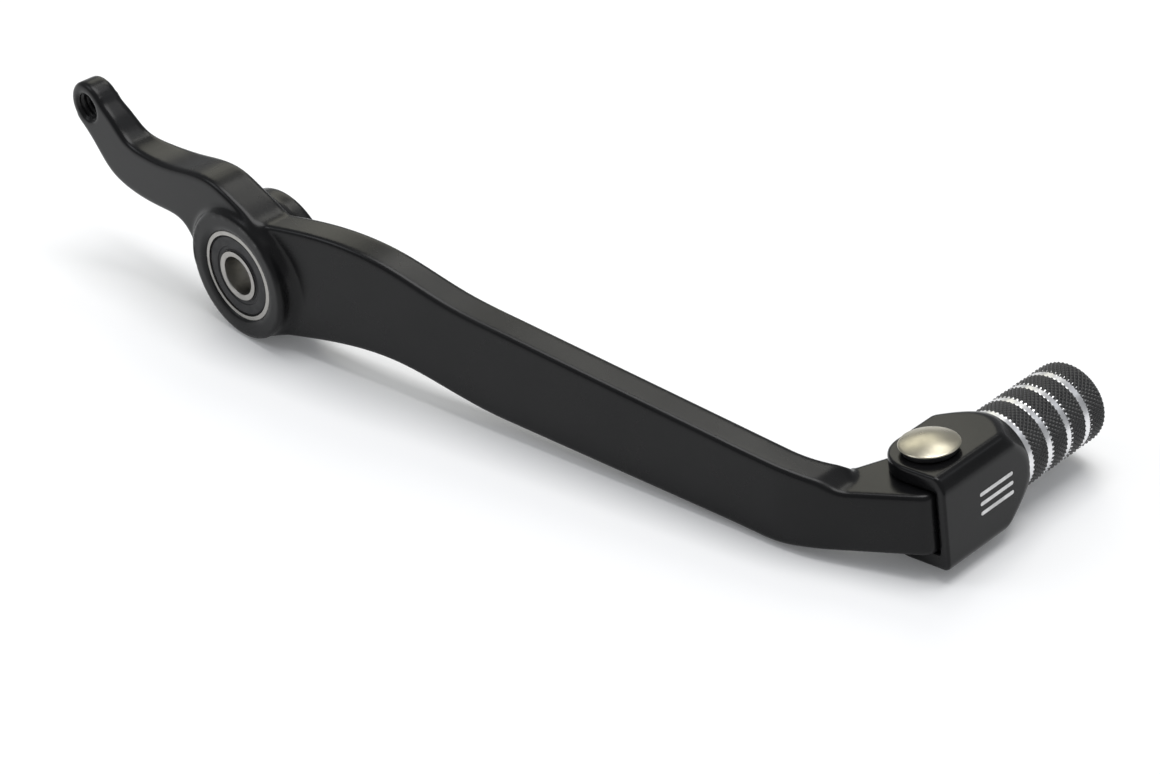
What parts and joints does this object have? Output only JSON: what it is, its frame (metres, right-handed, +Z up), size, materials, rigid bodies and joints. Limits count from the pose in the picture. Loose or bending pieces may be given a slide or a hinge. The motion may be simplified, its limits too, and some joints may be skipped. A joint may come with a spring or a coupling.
{
  "type": "gear shift lever",
  "caption": "Foot-operated gear shift lever: two-armed forging on a sealed ball-bearing pivot, threaded linkage eye, sprung folding toe tip with knurled peg.",
  "frame": {"origin": "centre of the pivot bore, midway between the two faces of the boss", "axes": "+X forward towards the folding tip, +Y along the pivot bore towards the side the toe peg points to, +Z up as the lever lies with its boss and tip on a level surface"},
  "size_m": [0.1984, 0.0851, 0.0375],
  "materials": {
    "arm_anodised": "gloss",
    "tip_anodised": "gloss",
    "peg_anodised": "satin",
    "polished_steel": "polished",
    "screw_steel": "satin",
    "spring_steel": "satin",
    "spacer_steel": "satin",
    "bearing_steel": "ground",
    "ball_steel": "polished",
    "cage_steel": "satin",
    "seal_rubber": "matte"
  },
  "bodies": {
    "lever": {"lever_arm": "arm_anodised", "inboard_bearing_outer_ring": "bearing_steel", "inboard_bearing_inboard_seal": "seal_rubber", "inboard_bearing_outboard_seal": "seal_rubber", "outboard_bearing_outer_ring": "bearing_steel", "outboard_bearing_inboard_seal": "seal_rubber", "outboard_bearing_outboard_seal": "seal_rubber"},
    "pivot_core": {"inboard_bearing_inner_ring": "bearing_steel", "outboard_bearing_inner_ring": "bearing_steel", "bearing_spacer": "spacer_steel"},
    "inboard_ball_set": {"inboard_bearing_balls": "ball_steel", "inboard_bearing_cage": "cage_steel"},
    "outboard_ball_set": {"outboard_bearing_balls": "ball_steel", "outboard_bearing_cage": "cage_steel"},
    "folding_tip": {"tip_block": "tip_anodised", "toe_peg": "peg_anodised", "fold_pin": "polished_steel", "pin_head_washer": "seal_rubber", "pin_screw": "screw_steel", "return_spring": "spring_steel"}
  },
  "joints": [
    {"name": "pivot_spin", "type": "hinge", "parent": "lever", "child": "pivot_core", "pos_m": [0, 0, 0], "axis": [0, 1, 0], "continuous": true},
    {"name": "inboard_cage_spin", "type": "hinge", "parent": "lever", "child": "inboard_ball_set", "pos_m": [0, 0, 0], "axis": [0, 1, 0], "continuous": true},
    {"name": "outboard_cage_spin", "type": "hinge", "parent": "lever", "child": "outboard_ball_set", "pos_m": [0, 0, 0], "axis": [0, 1, 0], "continuous": true},
    {"name": "tip_fold", "type": "hinge", "parent": "lever", "child": "folding_tip", "pos_m": [0.13675, 0.03829, -0.00298], "axis": [-0.1874, 0, 0.9823], "range_deg": [0, 65], "stiffness_Nm_per_rad": 0.35, "springref_deg": -34.38, "deforming": ["return_spring"]}
  ],
  "couplings": [
    {"joint": "inboard_cage_spin", "follows": "pivot_spin", "ratio": 0.3889},
    {"joint": "outboard_cage_spin", "follows": "pivot_spin", "ratio": 0.3889}
  ]
}
